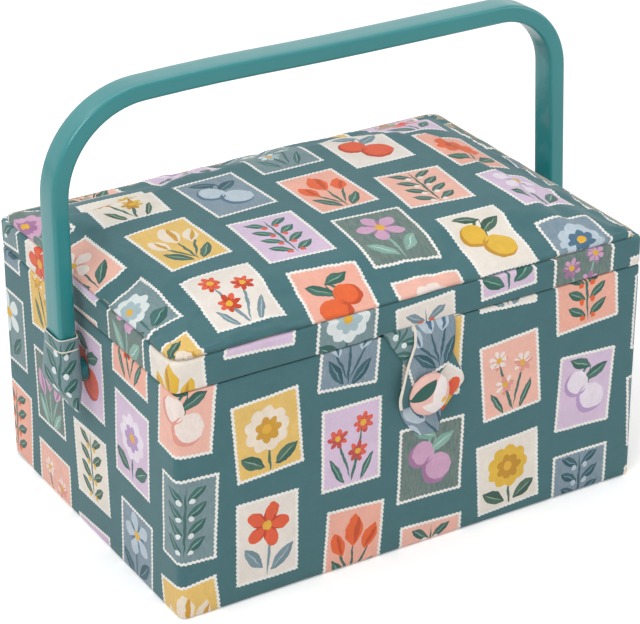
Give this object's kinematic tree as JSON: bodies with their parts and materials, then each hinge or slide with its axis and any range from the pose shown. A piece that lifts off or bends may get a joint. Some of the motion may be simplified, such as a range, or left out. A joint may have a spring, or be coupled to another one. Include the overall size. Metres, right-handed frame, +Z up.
{
  "type": "sewing box",
  "caption": "Cloth-covered sewing box with a hinged padded lid, a ribbon and button closure, a lift-out tray and a folding carrying handle.",
  "frame": {"origin": "middle of the flat underside, where the box stands", "axes": "+X along the box's width and the handle's pivots, +Y to the hinged back, +Z up"},
  "size_m": [0.2968, 0.1929, 0.2302],
  "materials": {
    "printed_cloth": "matte",
    "button_cloth": "matte",
    "board": "matte",
    "paper": "matte",
    "lining": "satin",
    "cushion_cloth": "matte",
    "elastic": "matte",
    "foam": "matte",
    "handle_plastic": "satin",
    "tray_plastic": "gloss",
    "steel": "satin"
  },
  "bodies": {
    "box": {"base_back_board": "board", "base_bottom_board": "board", "base_cover": "printed_cloth", "base_front_board": "board", "base_left_board": "board", "base_right_board": "board", "base_underside": "paper", "button_shank": "steel", "button_shell": "button_cloth", "button_washer": "steel", "floor_pad": "lining", "handle_rivet_left": "steel", "handle_rivet_right": "steel", "hinge_strip": "printed_cloth", "ledge_back_panel": "lining", "ledge_front_panel": "lining", "ledge_left_panel": "lining", "ledge_right_panel": "lining", "rivet_washer_left": "steel", "rivet_washer_right": "steel"},
    "lid": {"lid_top_board": "board", "lid_front_board": "board", "lid_back_board": "board", "lid_left_board": "board", "lid_right_board": "board", "lid_skirt_cover": "printed_cloth", "pad_board": "board", "pad_foam": "foam", "pad_cover": "printed_cloth", "lid_lining": "lining", "lid_pocket": "lining", "pocket_elastic": "elastic", "pincushion": "cushion_cloth", "latch_anchor": "printed_cloth"},
    "latch": {"latch_loop": "printed_cloth"},
    "handle": {"handle": "handle_plastic", "sleeve_left": "printed_cloth", "sleeve_right": "printed_cloth"},
    "tray": {"tray": "tray_plastic"}
  },
  "joints": [
    {"name": "lid_hinge", "type": "hinge", "parent": "box", "child": "lid", "pos_m": [0, 0.0925, 0.1198], "axis": [-1, 0, 0], "range_deg": [0, 100], "deforming": ["hinge_strip"]},
    {"name": "handle_swing", "type": "hinge", "parent": "box", "child": "handle", "pos_m": [0, 0, 0.092], "axis": [-1, 0, 0], "range_deg": [0, 110]},
    {"name": "latch_swing", "type": "hinge", "parent": "lid", "child": "latch", "pos_m": [0.004, -0.0934, 0.11985], "axis": [-1, 0, 0], "range_deg": [0, 75], "deforming": ["latch_loop"]},
    {"name": "tray_lift", "type": "slide", "parent": "box", "child": "tray", "axis": [0, 0, 1], "range_m": [0, 0.008]}
  ],
  "couplings": [
    {"joint": "handle_swing", "follows": "lid_hinge", "ratio": 1.1}
  ]
}
